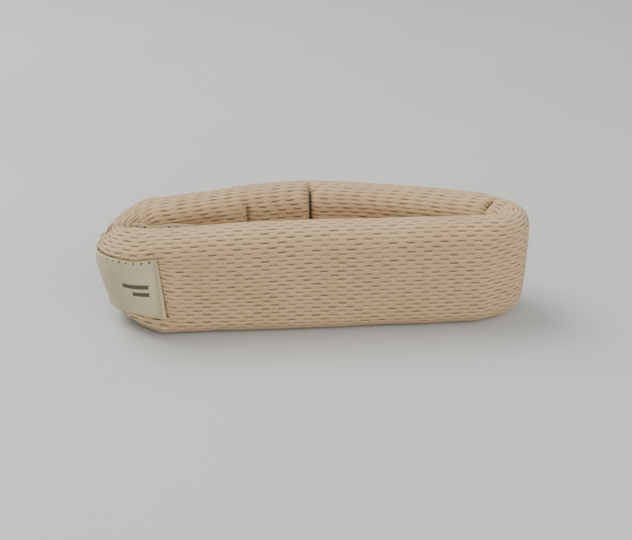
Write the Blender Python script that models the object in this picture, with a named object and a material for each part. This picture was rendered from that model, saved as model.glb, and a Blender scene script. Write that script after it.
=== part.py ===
"""A small soft neck collar: a padded foam band in a knitted cover, bent into a flat closed loop.

The band stands on its edge. Its front wall is straight, it folds back at the right and the left, and its
back wall bows away to a crease. The two ends of the band meet at the outermost point of the left fold, where
a tape strap sewn to one end closes over a loop patch on the other. All sizes are in metres, +Z is up.
"""

import math

import bmesh
import bpy
from mathutils import Vector

# The band
BAND_HEIGHT = 0.040
BAND_THICKNESS = 0.015
CORNER_RADIUS = 0.006
COVER_WALL = 0.001
GAP = 0.0003

# The loop in plan. Rises are from the front wall's inner face, reaches are from the right fold's centre.
FRONT_LENGTH = 0.120
RIGHT_FOLD_RADIUS = 0.001
LEFT_FOLD_RADIUS = 0.004
BACK_BOW = 0.0027
DEEP_CREASE_REACH = 0.0628
DEEP_CREASE_RISE = 0.0213
SHALLOW_CREASE_REACH = 0.0862
SHALLOW_CREASE_RISE = 0.0175
SEAM_ANGLE = math.radians(168)
SEAM_FACET = math.radians(24)
RIGHT_FOLD_LEG = 0.010
LEFT_FOLD_LEG = 0.0135
END_CAP = 0.0008

# The tape strap and its hook and loop closure
LABEL_FLAT = 0.0035
STRAP_WIDTH = 0.025
STRAP_THICKNESS = 0.001
STRAP_ABOVE_MIDDLE = 0.001
TAIL_LENGTH = 0.022
TAIL_RAMP = 0.004
TAB_LENGTH = 0.009
CLOSURE_THICKNESS = 0.0006
HOOK_WIDTH = 0.019
LOOP_LENGTH = 0.031
BACKING_LENGTH = 0.026
THREAD_RADIUS = 0.00025
STITCH_INSET = 0.0015

# How finely the round shapes are cut
CORNER_STEPS = 5
FOLD_STEPS = 12
LEFT_FOLD_STEPS = 7
BACK_FOLD_STEPS = 4
BOW_STEPS = 7
TAPE_STEPS = 6
SEWN_STATIONS = 5

KNIT_BEIGE = (0.52, 0.40, 0.29)
FOAM_CREAM = (0.80, 0.74, 0.58)
TAPE_CREAM = (0.48, 0.43, 0.31)
CLOSURE_WHITE = (0.62, 0.58, 0.48)
THREAD_CREAM = (0.55, 0.48, 0.34)

model = None


def clear_scene():
    for obj in list(bpy.data.objects):
        bpy.data.objects.remove(obj, do_unlink=True)


def heading(angle):
    return Vector((math.cos(angle), math.sin(angle)))


def left_normal(direction):
    return Vector((-direction.y, direction.x))


# Stations. A station is a cut across the band: its outer and its inner point in plan.


def radial(centre, inner_radius, angle):
    ray = heading(angle)
    return (centre + ray * (inner_radius + BAND_THICKNESS), centre + ray * inner_radius)


def fan(centre, inner_radius, start, end, steps):
    """Stations that turn about a fold's centre, as seen from above."""
    return [radial(centre, inner_radius, start + (end - start) * step / steps) for step in range(steps + 1)]


def bowed(start, end, rise, steps):
    """Points on the arc from start to end that stands out by rise on the right of its chord."""
    chord = end - start
    if rise == 0:
        return [start.lerp(end, step / steps) for step in range(steps + 1)]
    half = math.atan(2 * rise / chord.length) * 2
    radius = chord.length / 2 / math.sin(half)
    middle = start.lerp(end, 0.5) - left_normal(chord.normalized()) * (rise - radius)
    first = math.atan2(start.y - middle.y, start.x - middle.x)
    return [middle + heading(first + 2 * half * step / steps) * radius for step in range(steps + 1)]


def mitre(point, before, after):
    """The station at a crease: its cut halves the angle between the walls before and after it."""
    outward = -left_normal((before + after).normalized())
    lean = outward.dot(-left_normal(before))
    return (point + outward * BAND_THICKNESS / lean, point)


def shifted(station, direction, distance):
    return tuple(point + direction * distance for point in station)


def across(station):
    """The unit vector from a station's inner point to its outer one."""
    return (station[0] - station[1]).normalized()


def along(station):
    """The unit vector along the band at a station, counter-clockwise round the loop."""
    return left_normal(across(station))


def trimmed(stations, first_cut=GAP / 2, last_cut=GAP / 2):
    """The stations with both ends cut back, which leaves a gap to the next piece."""
    whole = list(stations)
    whole[0] = shifted(stations[0], along(stations[0]), first_cut)
    whole[-1] = shifted(stations[-1], along(stations[-1]), -last_cut)
    return whole


def section(inset):
    """The band's section, inset from its skin, as (distance from the inner face, height) points."""
    radius = CORNER_RADIUS - inset
    corners = (
        (BAND_THICKNESS - CORNER_RADIUS, BAND_HEIGHT - CORNER_RADIUS),
        (CORNER_RADIUS, BAND_HEIGHT - CORNER_RADIUS),
        (CORNER_RADIUS, CORNER_RADIUS),
        (BAND_THICKNESS - CORNER_RADIUS, CORNER_RADIUS),
    )
    points = []
    for quarter, (across_at, up_at) in enumerate(corners):
        for step in range(CORNER_STEPS + 1):
            ray = heading(math.pi / 2 * (quarter + step / CORNER_STEPS))
            points.append((across_at + ray.x * radius, up_at + ray.y * radius))
    return points


def strip(low, high):
    """A tape's section between two heights, where a station's two points are the tape's faces."""
    return [(BAND_THICKNESS, low), (BAND_THICKNESS, high), (0, high), (0, low)]


# Objects


def finish(obj, colour, roughness):
    material = bpy.data.materials.new(obj.name + "_finish")
    material.use_nodes = True
    shader = material.node_tree.nodes["Principled BSDF"]
    shader.inputs["Base Color"].default_value = (*colour, 1)
    shader.inputs["Roughness"].default_value = roughness
    shader.inputs["Metallic"].default_value = 0
    obj.data.materials.append(material)


def skin(shape, stations, outline):
    """A skin through the outline at each station, whose widths stretch with the station. Gives its end rings."""
    rings = []
    for outer, inner in stations:
        reach = (outer - inner) / BAND_THICKNESS
        ring = []
        for distance, height in outline:
            place = inner + reach * distance
            ring.append(shape.verts.new((place.x, place.y, height)))
        rings.append(ring)
    for ring, following in zip(rings, rings[1:]):
        joined(shape, ring, following)
    return rings[0], rings[-1]


def joined(shape, ring, other):
    for i in range(len(ring)):
        j = (i + 1) % len(ring)
        shape.faces.new((ring[i], ring[j], other[j], other[i]))


def loft(name, stations, outline, bore=None):
    """A solid through the outline at each station, or a tube where a bore's outline is given."""
    shape = bmesh.new()
    first, last = skin(shape, stations, outline)
    if bore:
        first_bore, last_bore = skin(shape, stations, bore)
        joined(shape, first, first_bore)
        joined(shape, last, last_bore)
    else:
        shape.faces.new(first)
        shape.faces.new(last)
    bmesh.ops.recalc_face_normals(shape, faces=shape.faces)
    mesh = bpy.data.meshes.new(name)
    shape.to_mesh(mesh)
    shape.free()
    mesh.shade_smooth()
    mesh.set_sharp_from_angle(angle=math.radians(40))
    obj = bpy.data.objects.new(name, mesh)
    model.objects.link(obj)
    return obj


def cover(name, stations):
    """A length of the knitted tube, open at both ends."""
    obj = loft(name, stations, section(0), section(COVER_WALL))
    finish(obj, KNIT_BEIGE, 0.9)
    return obj


def foam(name, stations):
    obj = loft(name, stations, section(COVER_WALL + GAP))
    finish(obj, FOAM_CREAM, 0.95)
    return obj


def end_cap(name, station, direction, first):
    """The gathered cloth that closes the cover's end, first metres past the station."""
    near = shifted(station, direction, first)
    far = shifted(station, direction, first + END_CAP)
    obj = loft(name, [near, far], section(0))
    finish(obj, KNIT_BEIGE, 0.9)
    return obj


def tape(name, stations, width, colour, roughness):
    middle = BAND_HEIGHT / 2 + STRAP_ABOVE_MIDDLE
    obj = loft(name, stations, strip(middle - width / 2, middle + width / 2))
    finish(obj, colour, roughness)
    return obj


def stitching(name, path, width):
    """One thread along a tape: out along its upper edge, down its end and back along its lower edge."""
    middle = BAND_HEIGHT / 2 + STRAP_ABOVE_MIDDLE
    high = middle + width / 2 - STITCH_INSET
    low = middle - width / 2 + STITCH_INSET
    points = [(p.x, p.y, high) for p in path] + [(p.x, p.y, low) for p in reversed(path)]
    curve = bpy.data.curves.new(name, "CURVE")
    curve.dimensions = "3D"
    curve.bevel_depth = THREAD_RADIUS
    curve.bevel_resolution = 1
    curve.use_fill_caps = True
    thread = curve.splines.new("POLY")
    thread.points.add(len(points) - 1)
    for point, place in zip(thread.points, points):
        point.co = (*place, 1)
    obj = bpy.data.objects.new(name, curve)
    model.objects.link(obj)
    finish(obj, THREAD_CREAM, 0.7)
    return obj


def pivot(name, place, parent):
    """An empty on a joint's upright axis."""
    empty = bpy.data.objects.new(name, None)
    model.objects.link(empty)
    empty.location = (place.x, place.y, 0)
    attach(empty, parent)
    return empty


def attach(obj, parent):
    bpy.context.view_layer.update()
    obj.parent = parent
    if parent:
        obj.matrix_parent_inverse = parent.matrix_world.inverted()


def layer(stations, low, thickness):
    """A layer on the band's outer side, from low above it, as stations of its own."""
    return [
        (outer + across((outer, inner)) * (low + thickness), outer + across((outer, inner)) * low)
        for outer, inner in stations
    ]


def evenly(first, last):
    return [first + (last - first) * step / TAPE_STEPS for step in range(TAPE_STEPS + 1)]


def behind_seam(fold, distances):
    """The stations that far behind the seam, measured on the outer face of the left fold and then of its wall."""
    centre, wall_angle = fold
    reach = LEFT_FOLD_RADIUS + BAND_THICKNESS
    wall_start = radial(centre, LEFT_FOLD_RADIUS, wall_angle)
    found = []
    for distance in distances:
        angle = SEAM_ANGLE - distance / reach
        if angle > wall_angle:
            found.append(radial(centre, LEFT_FOLD_RADIUS, angle))
        else:
            found.append(shifted(wall_start, -along(wall_start), (wall_angle - angle) * reach))
    return found


# The loop's plan


def plan_of_loop():
    """Each band piece's stations, counter-clockwise round the loop, and the left fold's centre and first angle."""
    inner_face = BAND_THICKNESS / 2
    right = Vector((FRONT_LENGTH / 2, inner_face + RIGHT_FOLD_RADIUS))
    left = Vector((-FRONT_LENGTH / 2, inner_face + LEFT_FOLD_RADIUS))
    deep = Vector((right.x - DEEP_CREASE_REACH, inner_face + DEEP_CREASE_RISE))
    shallow = Vector((right.x - SHALLOW_CREASE_REACH, inner_face + SHALLOW_CREASE_RISE))

    # The back wall leaves the right fold on a tangent of its bowed line.
    right_end = math.radians(60)
    for _ in range(6):
        start = right + heading(right_end) * RIGHT_FOLD_RADIUS
        bow_points = bowed(start, deep, BACK_BOW, BOW_STEPS)
        chord = deep - start
        half = math.atan(2 * BACK_BOW / chord.length) * 2
        right_end = math.atan2(chord.y, chord.x) - half - math.pi / 2
    # The left wall runs from the shallow crease to a tangent of the left fold.
    span = left - shallow
    lean = math.asin(LEFT_FOLD_RADIUS / span.length)
    left_heading = math.atan2(span.y, span.x) % (2 * math.pi) - lean
    left_start = left_heading - math.pi / 2

    floor_angle = -math.pi / 2
    left_end = floor_angle + 2 * math.pi

    bow_heading = heading(math.atan2(chord.y, chord.x) + half)
    middle_heading = (shallow - deep).normalized()
    back_heading = heading(left_heading)

    def straight(x):
        return (Vector((x, -inner_face)), Vector((x, inner_face)))

    bow = []
    for step, point in enumerate(bow_points):
        turn = math.atan2(chord.y, chord.x) - half + 2 * half * step / BOW_STEPS
        bow.append((point + heading(turn - math.pi / 2) * BAND_THICKNESS, point))
    deep_cut = mitre(deep, bow_heading, middle_heading)
    shallow_cut = mitre(shallow, middle_heading, back_heading)
    # The seam cuts the left fold in two, with a wide facet on each side of it for the gathered ends.
    seam = radial(left, LEFT_FOLD_RADIUS, SEAM_ANGLE)
    behind = fan(left, LEFT_FOLD_RADIUS, left_start, SEAM_ANGLE - SEAM_FACET, BACK_FOLD_STEPS)
    before = fan(left, LEFT_FOLD_RADIUS, SEAM_ANGLE + SEAM_FACET, left_end, LEFT_FOLD_STEPS)
    left_cut = straight(left.x + LEFT_FOLD_LEG)
    right_cut = straight(right.x - RIGHT_FOLD_LEG)
    right_turn = fan(right, RIGHT_FOLD_RADIUS, floor_angle, right_end, FOLD_STEPS)
    bands = {
        "front": [left_cut, right_cut],
        "right_fold": [right_cut] + right_turn + [bow[1]],
        "back_right": bow[1:-1] + [deep_cut],
        "back_middle": [deep_cut, shallow_cut],
        "back_left": [shallow_cut] + behind + [seam],
        "left_fold": [seam] + before + [left_cut],
    }
    return bands, (left, left_start)


def main():
    global model
    clear_scene()
    model = bpy.data.collections.new("soft_neck_collar")
    bpy.context.scene.collection.children.link(model)

    plan, fold = plan_of_loop()
    left_cut = plan["left_fold"][-1]
    under_strap = plan["left_fold"][:-1] + [shifted(left_cut, along(left_cut), LABEL_FLAT - LEFT_FOLD_LEG)]
    seam = under_strap[0]
    closing = -along(seam)  # from the seam round the fold towards the back wall
    cap_room = GAP / 2 + END_CAP + GAP
    strap_face = GAP + STRAP_THICKNESS  # how far the strap's face stands off the band's skin
    tail_low = 3 * GAP + 2 * CLOSURE_THICKNESS

    # The joints' pivots, each on the band's outer skin, or on the strap's outer face for its own two.
    collar = bpy.data.objects.new("collar", None)
    model.objects.link(collar)
    right_fold = pivot("right_fold_joint", plan["right_fold"][0][0], collar)
    back_wall = pivot("back_wall_joint", plan["back_right"][0][0], right_fold)
    deep = pivot("deep_crease_joint", plan["back_middle"][0][0], back_wall)
    shallow = pivot("shallow_crease_joint", plan["back_left"][0][0], deep)
    left_fold = pivot("left_fold_joint", left_cut[0], collar)
    strap_peel = pivot("strap_peel_joint", seam[0] + across(seam) * strap_face, left_fold)
    tab_root = behind_seam(fold, [TAIL_LENGTH])[0]
    tab_face = tab_root[0] + across(tab_root) * (tail_low + STRAP_THICKNESS)
    tab_lift = pivot("tab_lift_joint", tab_face, strap_peel)

    # The foam strip and the knitted tube over it, in the lengths that the folds and creases part.
    pivots = {
        "front": collar,
        "right_fold": right_fold,
        "back_right": back_wall,
        "back_middle": deep,
        "back_left": shallow,
        "left_fold": left_fold,
    }
    cuts = {"back_left": (GAP / 2, cap_room), "left_fold": (cap_room, GAP / 2)}
    for name, stations in plan.items():
        length = trimmed(stations, *cuts.get(name, (GAP / 2, GAP / 2)))
        attach(foam(name + "_foam", length), pivots[name])
        attach(cover(name + "_cover", length), pivots[name])
    attach(end_cap("back_end_cap", seam, closing, GAP / 2), shallow)
    attach(end_cap("front_end_cap", seam, -closing, GAP / 2), left_fold)

    # The strap: sewn down beside the front wall and round the left fold, then its free tail and pull tab.
    strap = layer(trimmed(under_strap), GAP, STRAP_THICKNESS)
    attach(tape("strap", strap, STRAP_WIDTH, TAPE_CREAM, 0.8), left_fold)
    start = layer(behind_seam(fold, [GAP / 2]), GAP, STRAP_THICKNESS)
    tail = behind_seam(fold, evenly(TAIL_RAMP, TAIL_LENGTH - GAP / 2))
    tail = start + layer(tail, tail_low, STRAP_THICKNESS)
    attach(tape("strap_tail", tail, STRAP_WIDTH, TAPE_CREAM, 0.8), strap_peel)
    tab = behind_seam(fold, evenly(TAIL_LENGTH + GAP / 2, TAIL_LENGTH + TAB_LENGTH))
    tab = layer(tab, tail_low, STRAP_THICKNESS)
    attach(tape("pull_tab", tab, STRAP_WIDTH, TAPE_CREAM, 0.8), tab_lift)

    # The hook tape under the tail, the loop patch that it grips, and the backing inside the band's end.
    hook = behind_seam(fold, evenly(TAIL_RAMP + 2 * GAP, TAIL_LENGTH - 4 * GAP))
    hook = layer(hook, 2 * GAP + CLOSURE_THICKNESS, CLOSURE_THICKNESS)
    attach(tape("hook_tape", hook, HOOK_WIDTH, CLOSURE_WHITE, 0.6), strap_peel)
    loop = behind_seam(fold, evenly(TAIL_RAMP, LOOP_LENGTH))
    loop = layer(loop, GAP, CLOSURE_THICKNESS)
    attach(tape("loop_patch", loop, STRAP_WIDTH, CLOSURE_WHITE, 0.9), shallow)
    backing_low = -BAND_THICKNESS - GAP - STRAP_THICKNESS
    wall_start = radial(fold[0], LEFT_FOLD_RADIUS, fold[1])
    wall_way = -along(wall_start)
    backing = [shifted(wall_start, wall_way, distance) for distance in (GAP, BACKING_LENGTH)]
    backing = layer(backing, backing_low, STRAP_THICKNESS)
    attach(tape("backing_tape", backing, STRAP_WIDTH, TAPE_CREAM, 0.8), shallow)

    # One thread sews each tape along three of its edges.
    thread_low = GAP + THREAD_RADIUS
    sewn = strap[-SEWN_STATIONS:]
    strap_run = [outer + across((outer, inner)) * thread_low for outer, inner in sewn]
    strap_run[-1] -= along(sewn[-1]) * STITCH_INSET
    attach(stitching("strap_stitching", strap_run, STRAP_WIDTH), left_fold)
    hook_run = [
        point[0] + across(point) * (tail_low + STRAP_THICKNESS + thread_low)
        for point in behind_seam(fold, evenly(TAIL_RAMP + STITCH_INSET, TAIL_LENGTH - STITCH_INSET))
    ]
    attach(stitching("hook_stitching", hook_run, HOOK_WIDTH), strap_peel)
    loop_run = [
        point[0] + across(point) * (GAP + CLOSURE_THICKNESS + thread_low)
        for point in behind_seam(fold, evenly(TAIL_RAMP + STITCH_INSET, LOOP_LENGTH - STITCH_INSET))
    ]
    attach(stitching("loop_stitching", loop_run, STRAP_WIDTH), shallow)
    backing_run = [
        wall_start[0] + wall_way * distance + across(wall_start) * (backing_low - thread_low)
        for distance in (GAP + STITCH_INSET, BACKING_LENGTH - STITCH_INSET)
    ]
    attach(stitching("backing_stitching", backing_run, STRAP_WIDTH), shallow)

    stand_on_origin(collar)


def stand_on_origin(root):
    """Moves the whole collar so that its underside's centre is the origin."""
    bpy.context.view_layer.update()
    graph = bpy.context.evaluated_depsgraph_get()
    corners = [
        obj.matrix_world @ Vector(corner)
        for obj in model.objects
        if obj.type != "EMPTY"
        for corner in obj.evaluated_get(graph).bound_box
    ]
    low = [min(corner[axis] for corner in corners) for axis in range(3)]
    high = [max(corner[axis] for corner in corners) for axis in range(3)]
    root.location = (-(low[0] + high[0]) / 2, -(low[1] + high[1]) / 2, -low[2])
    bpy.context.view_layer.update()


main()
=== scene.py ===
import math

import bmesh
import bpy
import numpy as np
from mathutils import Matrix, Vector, noise


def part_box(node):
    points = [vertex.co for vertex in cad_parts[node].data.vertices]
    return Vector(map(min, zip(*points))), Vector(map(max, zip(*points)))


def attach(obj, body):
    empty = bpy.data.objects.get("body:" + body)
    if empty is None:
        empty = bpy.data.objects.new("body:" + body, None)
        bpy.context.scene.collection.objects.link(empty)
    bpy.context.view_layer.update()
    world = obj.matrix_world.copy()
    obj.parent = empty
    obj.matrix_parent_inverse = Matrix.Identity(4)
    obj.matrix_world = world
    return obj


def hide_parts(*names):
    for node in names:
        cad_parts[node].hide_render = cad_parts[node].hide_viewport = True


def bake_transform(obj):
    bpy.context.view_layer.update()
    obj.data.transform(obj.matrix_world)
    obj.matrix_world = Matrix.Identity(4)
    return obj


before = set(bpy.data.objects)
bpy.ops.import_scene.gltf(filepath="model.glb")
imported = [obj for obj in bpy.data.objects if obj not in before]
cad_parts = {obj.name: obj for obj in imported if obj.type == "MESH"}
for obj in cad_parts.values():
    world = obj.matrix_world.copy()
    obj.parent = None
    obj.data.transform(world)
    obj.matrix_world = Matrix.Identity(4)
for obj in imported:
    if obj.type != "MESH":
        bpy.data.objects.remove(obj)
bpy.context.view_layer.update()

MM = 0.001

# The band and its loop, in metres. The sizes are the CAD's, but the fabric rounds the corners more.
BAND_HEIGHT = 0.040
BAND_THICKNESS = 0.015
CORNER_RADIUS = 0.0068
FRONT_LENGTH = 0.120
RIGHT_FOLD_RADIUS = 0.001
LEFT_FOLD_RADIUS = 0.004
BACK_BOW = 0.0027
DEEP_CREASE_REACH = 0.0628
DEEP_CREASE_RISE = 0.0213
SHALLOW_CREASE_REACH = 0.0862
SHALLOW_CREASE_RISE = 0.0175
SEAM_ANGLE = math.radians(168)
RIGHT_FOLD_LEG = 0.010
LEFT_FOLD_LEG = 0.0135

# The tapes
LABEL_FLAT = 0.0035
STRAP_WIDTH = 0.025
STRAP_THICKNESS = 0.001
STRAP_ABOVE_MIDDLE = 0.001
TAIL_LENGTH = 0.022
TAIL_RAMP = 0.004
TAB_LENGTH = 0.009
CLOSURE_THICKNESS = 0.0006
HOOK_WIDTH = 0.019
LOOP_LENGTH = 0.031
BACKING_LENGTH = 0.026
GAP = 0.0003
STITCH_INSET = 0.0015

# The knitted cover: its rows run along the band, and its slits are the gaps between them, painted dark as
# shadow.
ROWS_ROUND = 62
CELLS_PER_ROW = 4
STATION_STEP = 0.00045
PINCH_LENGTH = 0.013
INNER_PINCH = 0.70
LABEL_SLANT = 0.085
STRAP_LOW_DROP = 0.4
FOLD_TUCK = ((0.0560, -0.0100), (0.0650, -0.0020))

# How the band's ends and the tapes on them lie.
END_LEAN = 0.168
LEAN_BELOW = 0.028
FRONT_END_FALL = 0.0032
BACK_END_FALL = 0.0060
LEFT_SIDE_FALL = 0.0016
FOLD_SHOULDER_FALL = 0.0012
LABEL_REACH = 0.0009
TAIL_SINK = 0.0040
TAPE_LIFT = 0.0001
BACKING_LIFT = 0.00015

# How far the cover swells or is pulled in, under its knit.
OUTER_SWELL = 1.1 * MM
INNER_SWELL = 0.5 * MM
TOP_SWELL = 0.35 * MM
RIGHT_FOLD_PULL = 2.4 * MM
DEEP_CREASE_DEPTH = 3.2 * MM
SHALLOW_CREASE_DEPTH = 1.7 * MM
TUCK_DEPTH = 2.2 * MM
TAPE_PULL = 0.8 * MM
TAPE_PUFF = 0.45 * MM
GATHER_PITCH = 5.3 * MM
GATHER_RELIEF = 0.35 * MM
WIDE_UNEVENNESS = 0.40 * MM
FINE_UNEVENNESS = 0.12 * MM
END_ROUNDING = 1.2 * MM

# The knit's slits, in millimetres of knit, and its relief in metres.
SLIT_PERIOD = 5.9
SLIT_LENGTH = 2.9
SLIT_WIDTH = 0.40
ROW_RELIEF = 0.00006
SLIT_DEPTH = 0.00006


# Plan of the loop


def heading(angle):
    return np.array((math.cos(angle), math.sin(angle)))


def left_of(way):
    return np.array((-way[1], way[0]))


def band_line():
    """The middle of the band in plan, from its front end at the seam to its back end, with named points."""
    half = BAND_THICKNESS / 2
    right = np.array((FRONT_LENGTH / 2, half + RIGHT_FOLD_RADIUS))
    left = np.array((-FRONT_LENGTH / 2, half + LEFT_FOLD_RADIUS))
    deep = np.array((right[0] - DEEP_CREASE_REACH, half + DEEP_CREASE_RISE))
    shallow = np.array((right[0] - SHALLOW_CREASE_REACH, half + SHALLOW_CREASE_RISE))

    right_end = math.radians(60)
    for _ in range(6):
        start = right + heading(right_end) * RIGHT_FOLD_RADIUS
        chord = deep - start
        turn = math.atan(2 * BACK_BOW / np.linalg.norm(chord)) * 2
        chord_angle = math.atan2(chord[1], chord[0])
        right_end = chord_angle - turn - math.pi / 2
    bow_radius = np.linalg.norm(chord) / 2 / math.sin(turn)
    bow_centre = (start + deep) / 2 - left_of(chord / np.linalg.norm(chord)) * (BACK_BOW - bow_radius)

    span = left - shallow
    lean = math.asin(LEFT_FOLD_RADIUS / np.linalg.norm(span))
    back_angle = math.atan2(span[1], span[0]) % (2 * math.pi) - lean
    left_start = back_angle - math.pi / 2
    middle = (shallow - deep) / np.linalg.norm(shallow - deep)

    def crease(point, before, after):
        way = (before + after) / np.linalg.norm(before + after)
        return point - left_of(way) * half / way.dot(before)

    def arc(centre, radius, first, last):
        count = max(2, int(abs(last - first) * radius / STATION_STEP))
        return [centre + heading(angle) * radius for angle in np.linspace(first, last, count)]

    floor_angle = -math.pi / 2
    line = arc(left, LEFT_FOLD_RADIUS + half, SEAM_ANGLE, floor_angle + 2 * math.pi)
    line += arc(right, RIGHT_FOLD_RADIUS + half, floor_angle, right_end)
    line += arc(bow_centre, bow_radius + half, right_end, right_end + 2 * turn)[:-1]
    deep_point = crease(deep, heading(chord_angle + turn), middle)
    shallow_point = crease(shallow, middle, heading(back_angle))
    line += [deep_point, shallow_point]
    line += arc(left, LEFT_FOLD_RADIUS + half, left_start, SEAM_ANGLE)
    bow_cut = bow_centre + heading(right_end + 2 * turn / 7) * (bow_radius + half)
    places = {
        "left_fold_end": (left[0], 0),
        "label_end": (left[0] + LABEL_FLAT, 0),
        "left_hinge": (left[0] + LEFT_FOLD_LEG, 0),
        "front_middle": (0, 0),
        "right_hinge": (right[0] - RIGHT_FOLD_LEG, 0),
        "right_fold_start": (right[0], 0),
        "right_fold_middle": right + np.array((RIGHT_FOLD_RADIUS + half, 0)),
        "right_fold_end": right + heading(right_end) * (RIGHT_FOLD_RADIUS + half),
        "back_hinge": bow_cut,
        "back_middle_point": bow_centre + heading(right_end + turn) * (bow_radius + half),
        "deep_crease": deep_point,
        "between_creases": (deep_point + shallow_point) / 2,
        "shallow_crease": shallow_point,
        "wall_end": left + heading(left_start) * (LEFT_FOLD_RADIUS + half),
    }
    return np.array(line), places


def smoothed(values, spread):
    """The values along the band, averaged over a few stations, with their ends kept."""
    reach = int(spread * 3)
    weights = np.exp(-0.5 * (np.arange(-reach, reach + 1) / spread) ** 2)
    weights /= weights.sum()
    before = 2 * values[0] - values[reach:0:-1]
    after = 2 * values[-1] - values[-2:-reach - 2:-1]
    padded = np.concatenate((before, values, after))
    return np.stack([np.convolve(padded[:, k], weights, "valid") for k in range(values.shape[1])], 1)


def stations():
    """Evenly spaced middles, outward directions and distances along the band, in the frame's coordinates."""
    line, places = band_line()
    low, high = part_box("front_cover")
    front_middle = (RIGHT_FOLD_LEG - LEFT_FOLD_LEG) / -2
    shift = np.array(((low.x + high.x) / 2 - front_middle, (low.y + high.y) / 2))
    steps = np.linalg.norm(np.diff(line, axis=0), axis=1)
    run = np.concatenate(([0], np.cumsum(steps)))
    count = int(run[-1] / STATION_STEP) + 1
    even = np.linspace(0, run[-1], count)
    middles = np.stack([np.interp(even, run, line[:, k]) for k in range(2)], 1)
    middles = smoothed(middles, 3.0)
    tangents = np.gradient(middles, axis=0)
    tangents /= np.linalg.norm(tangents, axis=1)[:, None]
    outward = np.stack((tangents[:, 1], -tangents[:, 0]), 1)
    found = {}
    for name, place in places.items():
        found[name] = int(np.argmin(np.linalg.norm(middles - np.array(place), axis=1)))
    return middles + shift, outward, even, found


MIDDLES, OUTWARD, ALONG, PLACE = stations()
BAND_LENGTH = ALONG[-1]


# The cover's surface


def ramp(value, start, end):
    """0 before start, 1 after end, and smooth between."""
    share = np.clip((value - start) / (end - start), 0, 1)
    return share * share * (3 - 2 * share)


def hump(value, centre, spread):
    return np.exp(-(((value - centre) / spread) ** 2))


def plateau(value, start, end, soft):
    return ramp(value, start - soft, start) * (1 - ramp(value, end, end + soft))


def section():
    """Distances round the band's section from the middle of its underside, its points and facing angles."""
    flat_base = BAND_THICKNESS / 2 - CORNER_RADIUS
    side = BAND_HEIGHT - 2 * CORNER_RADIUS
    corner = math.pi / 2 * CORNER_RADIUS
    runs = [flat_base, corner, side, corner, 2 * flat_base, corner, side, corner, flat_base]
    knots = np.concatenate(([0], np.cumsum(runs)))
    quarter = math.pi / 2
    turns = quarter * np.array((-1, -1, 0, 0, 1, 1, 2, 2, 3, 3))
    fine = np.linspace(0, knots[-1], 8001)
    facing = np.interp(fine, knots, turns)
    halfway = (facing[1:] + facing[:-1]) / 2 + quarter
    step = fine[1]
    across = np.concatenate(([0], np.cumsum(np.cos(halfway) * step)))
    height = np.concatenate(([0], np.cumsum(np.sin(halfway) * step)))
    count = ROWS_ROUND * CELLS_PER_ROW
    around = np.arange(count) * knots[-1] / count
    across, height, facing = (np.interp(around, fine, values) for values in (across, height, facing))
    return around, across, height, facing, knots[-1]


AROUND, ACROSS, HEIGHT, FACING, GIRTH = section()
ROW_PITCH = GIRTH / ROWS_ROUND / MM


def soft_noise(points, scale, offset):
    """Smooth noise from -1 to 1 at each point, with features about scale across."""
    flat = (points.reshape(-1, 3) / scale + offset).tolist()
    return np.array([noise.noise(place) for place in flat]).reshape(points.shape[:-1])


def end_pinch(near_end):
    """1 at the band's sewn end, falling to 0 where the band has its full thickness."""
    return 1 - ramp(near_end, 0, PINCH_LENGTH)


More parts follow.
